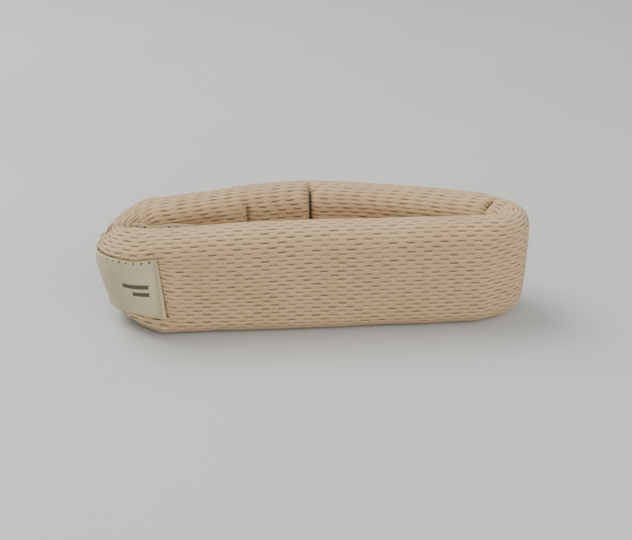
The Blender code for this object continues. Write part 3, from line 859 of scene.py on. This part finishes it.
def on_cover(points, normals, stations_at, heights):
    """Points and directions on the outer face of a grid, between the grid's own."""
    i = np.asarray(stations_at, float)[:, None]
    j = outer_index(heights)[None, :]
    i0, j0 = np.clip(np.floor(i).astype(int), 0, len(ALONG) - 2), np.floor(j).astype(int)
    fi, fj = (i - i0)[..., None], (j - j0)[..., None]

    def sampled(grid):
        near = grid[i0, j0] * (1 - fj) + grid[i0, j0 + 1] * fj
        far = grid[i0 + 1, j0] * (1 - fj) + grid[i0 + 1, j0 + 1] * fj
        return near * (1 - fi) + far * fi

    out = sampled(normals)
    return sampled(points), out / np.linalg.norm(out, axis=2, keepdims=True)


def behind_seam(distances):
    """The stations that far behind the seam, measured on the left fold's outer face and then its wall's."""
    middle_radius = LEFT_FOLD_RADIUS + BAND_THICKNESS / 2
    arc = BAND_LENGTH - ALONG[PLACE["wall_end"]]
    outer_arc = arc / middle_radius * (LEFT_FOLD_RADIUS + BAND_THICKNESS)
    distances = np.asarray(distances)
    back = np.where(distances < outer_arc, distances / outer_arc * arc, arc + distances - outer_arc)
    return len(ALONG) - 1 - back / STATION_STEP


def spaced(start, end, step):
    return np.linspace(start, end, max(3, int(abs(end - start) / step) + 1))


def tape_ground(at, heights, lift=0.0):
    """Where a tape lies: clear of the pinched ends of the band, and on the cover further round."""
    ground, out = on_cover(SMOOTH, SMOOTH_NORMALS, at, heights)
    plain, _ = on_cover(PLAIN, SMOOTH_NORMALS, at, heights)
    index = np.asarray(at, float)
    face = np.stack([np.interp(index, np.arange(len(ALONG)), OUTWARD[:, k]) for k in range(2)], 1)
    level_out = np.zeros_like(out)
    level_out[..., :2] = face[:, None, :]
    bulge = (heights - BAND_HEIGHT / 2) / (BAND_HEIGHT / 2)
    plain = plain + level_out * (0.3 * MM + 0.3 * MM * (1 - bulge ** 2))[None, :, None]
    back = index > len(ALONG) / 2
    sink = np.where(back, TAIL_SINK * ramp((len(ALONG) - 1 - index) * STATION_STEP, 0, 12 * MM), 0)
    drop = heights[-1] - plain[:, -1, 2] + sink
    upper = (heights - heights[0]) / (heights[-1] - heights[0])
    share_down = STRAP_LOW_DROP + (1 - STRAP_LOW_DROP) * upper
    plain[..., 2] = heights[None, :] - drop[:, None] * share_down[None, :]
    share = np.where(back, 0, ramp(index * STATION_STEP, 9 * MM, 18 * MM))[:, None, None]
    ground = plain * (1 - share) + ground * share
    out = level_out * (1 - share) + out * share
    out = out / np.linalg.norm(out, axis=2, keepdims=True)
    return ground + out * np.broadcast_to(lift, index.shape)[:, None, None], out


STRAP_HEIGHTS = across_heights(STRAP_WIDTH, 33)
HOOK_HEIGHTS = across_heights(HOOK_WIDTH, 21)
TAIL_LOW = 3 * GAP + 2 * CLOSURE_THICKNESS
SEWN_START = int(6 * MM / STATION_STEP)
LABEL_END = PLACE["label_end"] - 0.3 * MM / STATION_STEP

strap_at = spaced(SEWN_START, LABEL_END, 1)
strap_face, strap_out = tape_ground(strap_at, STRAP_HEIGHTS)
sewn_share = ramp(strap_at * STATION_STEP, 0, ALONG[PLACE["label_end"]])
label_reach = LABEL_REACH - LABEL_SLANT / 2 * (STRAP_HEIGHTS - BAND_HEIGHT / 2)
strap_face[..., 0] += sewn_share[:, None] * label_reach[None, :]
strap = slab("strap", strap_face, strap_out, TAPE_LIFT, STRAP_THICKNESS, LABEL, (False, True), 1.4 * MM)
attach(strap, "left_fold")
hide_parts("strap")


def tail_rise(distance):
    """How far the tail's underside stands above the ground it is laid on, that far behind the seam."""
    return TAPE_LIFT + (TAIL_LOW - 0.5 * MM) * ramp(distance, 0.5 * MM, TAIL_RAMP)


wrap_at = spaced(SEWN_START, 0.4 * MM / STATION_STEP, 1)
wrap_face, wrap_out = tape_ground(wrap_at, STRAP_HEIGHTS, TAPE_LIFT)
split = TAIL_LENGTH - 7 * MM
tail_run = spaced(0.6 * MM, split, 0.5 * MM)
tail_face, tail_out = tape_ground(behind_seam(tail_run), STRAP_HEIGHTS, tail_rise(tail_run))
tail_face = np.concatenate((wrap_face, tail_face))
tail_out = np.concatenate((wrap_out, tail_out))
tail = slab("strap_tail", tail_face, tail_out, 0, STRAP_THICKNESS, TAPE, (False, False))
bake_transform(tail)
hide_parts("strap_tail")

tab_run = spaced(split, TAIL_LENGTH + TAB_LENGTH, 0.5 * MM)
tab_face, tab_out = tape_ground(behind_seam(tab_run), STRAP_HEIGHTS, tail_rise(tab_run))
tab = slab("pull_tab", tab_face, tab_out, 0, STRAP_THICKNESS, TAPE, (False, True), 2.5 * MM)
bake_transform(tab)
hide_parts("pull_tab")

hook_run = spaced(TAIL_RAMP + 2 * GAP, TAIL_LENGTH - 4 * GAP, 0.5 * MM)
hook_face, hook_out = tape_ground(behind_seam(hook_run), HOOK_HEIGHTS, tail_rise(hook_run))
hook_base = slab("hook_tape", hook_face, hook_out, -0.35 * MM, 0.35 * MM, HOOKS)
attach(hook_base, "strap_tail")
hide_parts("hook_tape")

loop_run = spaced(TAIL_RAMP, LOOP_LENGTH, 0.5 * MM)
loop_face, loop_out = tape_ground(behind_seam(loop_run), STRAP_HEIGHTS)
loop_base = slab("loop_patch", loop_face, loop_out, -0.25 * MM, 0.4 * MM, PILE)
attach(loop_base, "back_left")
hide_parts("loop_patch")


def inner_wall(distances, heights):
    """Points on the inner face of the band's back end, that far in front of where its wall meets the fold."""
    index = PLACE["wall_end"] - np.asarray(distances) / STATION_STEP
    plan = np.stack([np.interp(index, np.arange(len(ALONG)), MIDDLES[:, k]) for k in range(2)], 1)
    face = np.stack([np.interp(index, np.arange(len(ALONG)), OUTWARD[:, k]) for k in range(2)], 1)
    pinch = end_pinch((len(ALONG) - 1 - index) * STATION_STEP)
    side = -BAND_THICKNESS / 2 * (1 - INNER_PINCH * pinch)
    ground = np.zeros((len(index), len(heights), 3))
    ground[..., :2] = (plan + face * side[:, None])[:, None, :]
    ground[..., 2] = heights[None, :]
    far_end = ramp(np.asarray(distances), 6 * MM, 16 * MM)
    ground[..., 2] += 0.4 * MM + 1.4 * MM * pinch[:, None] - 1.6 * MM * far_end[:, None]
    out = np.zeros_like(ground)
    out[..., :2] = -face[:, None, :]
    return ground, out


backing_at = spaced(-10.5 * MM, BACKING_LENGTH - 10 * MM, 0.5 * MM)
backing_face, backing_out = inner_wall(backing_at, STRAP_HEIGHTS)
backing = slab("backing_tape", backing_face, backing_out, BACKING_LIFT, STRAP_THICKNESS, TAPE)
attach(backing, "back_left")
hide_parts("backing_tape")


# Stitches, hooks and loops, each repeated by a node tree.


def geometry_tree(name, inputs):
    tree = bpy.data.node_groups.new(name, "GeometryNodeTree")
    tree.interface.new_socket("Geometry", in_out="INPUT", socket_type="NodeSocketGeometry")
    for label, kind, value in inputs:
        socket = tree.interface.new_socket(label, in_out="INPUT", socket_type=kind)
        if value is not None:
            socket.default_value = value
    tree.interface.new_socket("Geometry", in_out="OUTPUT", socket_type="NodeSocketGeometry")
    return tree, tree.nodes.new("NodeGroupInput").outputs, tree.nodes.new("NodeGroupOutput").inputs[0]


def finish_tree(tree, result, instances, material):
    whole = node(tree, "GeometryNodeRealizeInstances", Geometry=instances).outputs[0]
    smooth = node(tree, "GeometryNodeSetShadeSmooth", Geometry=whole).outputs[0]
    finished = node(tree, "GeometryNodeSetMaterial", Geometry=smooth, Material=material)
    tree.links.new(finished.outputs[0], result)


def stitches_tree():
    """Stitches spaced along sewn lines, each a short thread that dives in at both ends."""
    tree, given, result = geometry_tree("sewn_stitches", [
        ("Spacing", "NodeSocketFloat", 0.002), ("Stitch Length", "NodeSocketFloat", 0.0016),
        ("Thread Radius", "NodeSocketFloat", 0.00022), ("Seed", "NodeSocketInt", 1),
        ("Material", "NodeSocketMaterial", None)])
    line = node(tree, "GeometryNodeMeshToCurve", Mesh=given["Geometry"]).outputs[0]
    even = node(tree, "GeometryNodeResampleCurve", {"mode": "LENGTH"}, Curve=line, Length=given["Spacing"])
    even = even.outputs[0]
    thread = node(tree, "GeometryNodeMeshUVSphere", Segments=10, Rings=6, Radius=1.0).outputs[0]
    half = node(tree, "ShaderNodeMath", {"operation": "MULTIPLY"}, _0=given["Stitch Length"], _1=0.5)
    half = half.outputs[0]
    thick = given["Thread Radius"]
    size = node(tree, "ShaderNodeCombineXYZ", X=half, Y=thick, Z=thick).outputs[0]
    way = node(tree, "GeometryNodeInputTangent").outputs[0]
    turned = node(tree, "FunctionNodeAlignRotationToVector", {"axis": "X"}, Vector=way).outputs[0]
    luck = node(tree, "FunctionNodeRandomValue", {"data_type": "FLOAT"}, _2=0.82, _3=1.15, Seed=given["Seed"])
    luck = luck.outputs[1]
    varied = node(tree, "ShaderNodeVectorMath", {"operation": "SCALE"}, _0=size, Scale=luck).outputs[0]
    laid = node(tree, "GeometryNodeInstanceOnPoints", Points=even, Instance=thread, Rotation=turned,
                Scale=varied)
    finish_tree(tree, result, laid.outputs[0], given["Material"])
    return tree


def pile_tree():
    """Bent threads that stand on each point of a grid: closed over for loops, open for hooks."""
    tree, given, result = geometry_tree("standing_threads", [
        ("Bend Radius", "NodeSocketFloat", 0.0004), ("Thread Radius", "NodeSocketFloat", 0.00007),
        ("Sweep", "NodeSocketFloat", 3.6), ("Scatter", "NodeSocketFloat", 0.0002),
        ("Turn", "NodeSocketFloat", 3.1), ("Seed", "NodeSocketInt", 3),
        ("Material", "NodeSocketMaterial", None)])
    spot = node(tree, "GeometryNodeMeshToPoints", Mesh=given["Geometry"]).outputs[0]
    scaled = {"operation": "SCALE"}
    low = node(tree, "ShaderNodeVectorMath", scaled, _0=(-1, -1, -1), Scale=given["Scatter"]).outputs[0]
    high = node(tree, "ShaderNodeVectorMath", scaled, _0=(1, 1, 1), Scale=given["Scatter"]).outputs[0]
    shake = node(tree, "FunctionNodeRandomValue", {"data_type": "FLOAT_VECTOR"}, _0=low, _1=high,
                 Seed=given["Seed"]).outputs[0]
    spot = node(tree, "GeometryNodeSetPosition", Geometry=spot, Offset=shake).outputs[0]
    arc = node(tree, "GeometryNodeCurveArc", {"mode": "RADIUS"}, Resolution=7, Radius=given["Bend Radius"],
               Start_Angle=-0.3, Sweep_Angle=given["Sweep"]).outputs[0]
    ring = node(tree, "GeometryNodeCurvePrimitiveCircle", Resolution=4, Radius=given["Thread Radius"])
    ring = ring.outputs[0]
    thread = node(tree, "GeometryNodeCurveToMesh", Curve=arc, Profile_Curve=ring, Fill_Caps=True).outputs[0]
    facing = node(tree, "GeometryNodeInputNamedAttribute", {"data_type": "FLOAT_VECTOR"}, Name="facing")
    facing = facing.outputs[0]
    upright = node(tree, "FunctionNodeAlignRotationToVector", {"axis": "Y"}, Vector=facing).outputs[0]
    most = given["Turn"]
    least = node(tree, "ShaderNodeMath", {"operation": "MULTIPLY"}, _0=most, _1=-1.0).outputs[0]
    angle = node(tree, "FunctionNodeRandomValue", {"data_type": "FLOAT"}, _2=least, _3=most,
                 Seed=given["Seed"]).outputs[1]
    spin = node(tree, "ShaderNodeCombineXYZ", Y=angle).outputs[0]
    turned = node(tree, "FunctionNodeRotateRotation", {"rotation_space": "LOCAL"}, Rotation=upright,
                  Rotate_By=spin).outputs[0]
    laid = node(tree, "GeometryNodeInstanceOnPoints", Points=spot, Instance=thread, Rotation=turned)
    finish_tree(tree, result, laid.outputs[0], given["Material"])
    return tree


def grown(name, base, tree, values):
    """The plain object that a node tree makes from a base, which is then removed."""
    seed = bpy.data.objects.new(name + "_base", base)
    bpy.context.scene.collection.objects.link(seed)
    modifier = seed.modifiers.new("grow", "NODES")
    modifier.node_group = tree
    for item in tree.interface.items_tree:
        if item.item_type == "SOCKET" and item.in_out == "INPUT" and item.name in values:
            modifier[item.identifier] = values[item.name]
    graph = bpy.context.evaluated_depsgraph_get()
    mesh = bpy.data.meshes.new_from_object(seed.evaluated_get(graph))
    bpy.data.objects.remove(seed)
    mesh.name = name
    obj = bpy.data.objects.new(name, mesh)
    bpy.context.scene.collection.objects.link(obj)
    return obj


def sewn_line(lines):
    """A mesh of open lines, each a list of points."""
    mesh = bpy.data.meshes.new("sewn_line")
    points, edges = [], []
    for line in lines:
        first = len(points)
        points += [tuple(point) for point in line]
        edges += [(first + k, first + k + 1) for k in range(len(line) - 1)]
    mesh.from_pydata(points, edges, [])
    return mesh


def spots(face, out, low, skip):
    """A mesh of loose points on a tape's face, with the way that they face."""
    chosen = face[1:-1:skip, 1:-1:skip].reshape(-1, 3) + out[1:-1:skip, 1:-1:skip].reshape(-1, 3) * low
    mesh = bpy.data.meshes.new("spots")
    mesh.from_pydata(chosen.tolist(), [], [])
    facing = mesh.attributes.new("facing", "FLOAT_VECTOR", "POINT")
    facing.data.foreach_set("vector", out[1:-1:skip, 1:-1:skip].reshape(-1).astype(np.float32))
    return mesh


def run_along(ground, out, heights, height, lift, start=0, end=None):
    """A line along a tape at one height."""
    line = ground[start:end]
    way = out[start:end]
    found = []
    for k in range(len(line)):
        point = [np.interp(height, heights, line[k, :, axis]) for axis in range(3)]
        facing = [np.interp(height, heights, way[k, :, axis]) for axis in range(3)]
        found.append(np.array(point) + np.array(facing) * lift)
    return found


def run_across(ground, out, heights, row, low, high, lift):
    """A line across a tape, at one place along it."""
    inside = (heights >= low) & (heights <= high)
    return list(ground[row][inside] + out[row][inside] * lift)


STITCHES = stitches_tree()
STANDING = pile_tree()
middle_height = BAND_HEIGHT / 2 + STRAP_ABOVE_MIDDLE
high_line = middle_height + STRAP_WIDTH / 2 - STITCH_INSET
low_line = middle_height - STRAP_WIDTH / 2 + STITCH_INSET


def stitched(name, lines, body, slot, nodes=(), **values):
    """Stitches grown along lines and given to a body; the slot is not used. Values change the tree's inputs.
    """
    given = {"Spacing": 2.0 * MM, "Stitch Length": 1.5 * MM, "Thread Radius": 0.2 * MM, "Seed": 5,
             "Material": THREAD}
    given.update({key.replace("_", " "): value for key, value in values.items()})
    piece = grown(name, sewn_line(lines), STITCHES, given)
    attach(piece, body)
    if nodes:
        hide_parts(*nodes)
    return piece


on_strap = TAPE_LIFT + STRAP_THICKNESS
sewn_top = run_along(strap_face, strap_out, STRAP_HEIGHTS, high_line + 0.9 * MM, on_strap + 0.1 * MM, 12)
sewn_base = run_along(strap_face, strap_out, STRAP_HEIGHTS, low_line - 0.7 * MM, on_strap + 0.1 * MM, 24)
sewn_end = run_across(strap_face, strap_out, STRAP_HEIGHTS, -4, low_line, high_line, on_strap + 0.55 * MM)
stitched("strap_stitches", [sewn_base, sewn_end], "left_fold", "thread", ["strap_stitching"])
stitched("strap_top_stitches", [sewn_top], "left_fold", "thread", Spacing=2.4 * MM, Stitch_Length=1.2 * MM,
         Thread_Radius=0.16 * MM)
# Painted shade: dark blobs for the shadow in the needle holes along the strap's top stitches.
stitched("strap_needle_hole_shade", [sewn_top], "left_fold", "thread", Spacing=2.4 * MM, Stitch_Length=0.8 * MM,
         Thread_Radius=0.26 * MM, Seed=8, Material=NEEDLE_HOLE_SHADE)

box_lift = STRAP_THICKNESS
box_high = middle_height + HOOK_WIDTH / 2 - STITCH_INSET
box_low = middle_height - HOOK_WIDTH / 2 + STITCH_INSET
box_start = len(wrap_face) + 10
tail_top = run_along(tail_face, tail_out, STRAP_HEIGHTS, box_high, box_lift, box_start)
tail_base = run_along(tail_face, tail_out, STRAP_HEIGHTS, box_low, box_lift, box_start)
tail_side = run_across(tail_face, tail_out, STRAP_HEIGHTS, box_start, low_line + 3 * MM, high_line - 3 * MM,
                       box_lift)
tab_top = run_along(tab_face, tab_out, STRAP_HEIGHTS, box_high, box_lift, 0, 10)
tab_base = run_along(tab_face, tab_out, STRAP_HEIGHTS, box_low, box_lift, 0, 10)
box_lines = [tail_top + tab_top[1:], tail_base + tab_base[1:], tail_side]
stitched("hook_stitches", box_lines, "strap_tail", "thread", ["hook_stitching"])

loop_top = run_along(loop_face, loop_out, STRAP_HEIGHTS, high_line, 0.18 * MM, 2, -2)
loop_low = run_along(loop_face, loop_out, STRAP_HEIGHTS, low_line, 0.18 * MM, 2, -2)
loop_far = run_across(loop_face, loop_out, STRAP_HEIGHTS, -3, low_line, high_line, 0.18 * MM)
stitched("loop_stitches", [loop_top, loop_low, loop_far], "back_left", "thread", ["loop_stitching"])

on_backing = BACKING_LIFT + STRAP_THICKNESS
back_top = run_along(backing_face, backing_out, STRAP_HEIGHTS, high_line + 0.4 * MM, on_backing + 0.1 * MM,
                     3, -2)
back_low = run_along(backing_face, backing_out, STRAP_HEIGHTS, low_line, on_backing, 3, -2)
back_far = run_across(backing_face, backing_out, STRAP_HEIGHTS, -4, low_line, high_line, on_backing)
stitched("backing_stitches", [back_top, back_low, back_far], "back_left", "thread", ["backing_stitching"])
# Painted shade: dark blobs for the shadow in the needle holes along the backing's stitches.
stitched("backing_needle_hole_shade", [back_top, back_far], "back_left", "thread", Spacing=2.8 * MM,
         Stitch_Length=0.8 * MM, Thread_Radius=0.28 * MM, Seed=8, Material=NEEDLE_HOLE_SHADE)

pile = grown("loop_pile", spots(loop_face, loop_out, 0.14 * MM, 2), STANDING, {
    "Bend Radius": 0.30 * MM, "Thread Radius": 0.05 * MM, "Sweep": 3.7, "Scatter": 0.3 * MM, "Turn": 3.1,
    "Seed": 3, "Material": PILE})
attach(pile, "back_left")
hooks = grown("hook_rows", spots(hook_face, -hook_out, 0.40 * MM, 2), STANDING, {
    "Bend Radius": 0.22 * MM, "Thread Radius": 0.05 * MM, "Sweep": 3.0, "Scatter": 0.0, "Turn": 0.25,
    "Seed": 4, "Material": HOOKS})
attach(hooks, "strap_tail")


# Floor, light and camera


def floor_material():
    material, tree, shader = blank_material("pale_floor", 0.8)
    place = node(tree, "ShaderNodeTexCoord").outputs["Object"]
    grain = node(tree, "ShaderNodeTexNoise", Vector=place, Scale=6.0, Detail=2.0).outputs[0]
    share = between(tree, grain, 0.3, 0.7)
    colour = blend_colour(tree, share, (0.545, 0.55, 0.54, 1), (0.575, 0.575, 0.56, 1))
    tree.links.new(colour, shader.inputs["Base Color"])
    return material


FLOOR_HALF = 30.0
floor_mesh = bpy.data.meshes.new("floor")
floor_corners = [(FLOOR_HALF * x, FLOOR_HALF * y, 0) for x, y in ((-1, -1), (1, -1), (1, 1), (-1, 1))]
floor_mesh.from_pydata(floor_corners, [], [(0, 1, 2, 3)])
floor = put("floor", floor_mesh, floor_material())


def soft_light(name, place, size, power, colour):
    """A large square light that faces the collar."""
    lamp = bpy.data.lights.new(name, "AREA")
    lamp.shape = "SQUARE"
    lamp.size = size
    lamp.energy = power
    lamp.color = colour
    obj = bpy.data.objects.new(name, lamp)
    bpy.context.scene.collection.objects.link(obj)
    obj.location = place
    obj.rotation_euler = (Vector((0, 0, 0.02)) - Vector(place)).to_track_quat("-Z", "Y").to_euler()
    return obj


soft_light("window_light", (-0.55, 0.35, 0.95), 0.8, 15.0, (1.0, 0.985, 0.96))
soft_light("room_light", (0.5, -0.9, 0.7), 1.0, 10.0, (1.0, 0.97, 0.93))

world = bpy.data.worlds.new("pale_room")
world.use_nodes = True
sky = world.node_tree.nodes["Background"]
sky.inputs["Color"].default_value = (0.86, 0.90, 0.93, 1)
sky.inputs["Strength"].default_value = 0.55
bpy.context.scene.world = world

lens = bpy.data.cameras.new("camera")
lens.lens = 52.86
lens.sensor_width = 36
camera = bpy.data.objects.new("camera", lens)
bpy.context.scene.collection.objects.link(camera)
camera.location = (-0.0212, -0.3065, 0.175)
camera.rotation_euler = (math.radians(62.15), 0, math.radians(-4.05))
bpy.context.scene.camera = camera
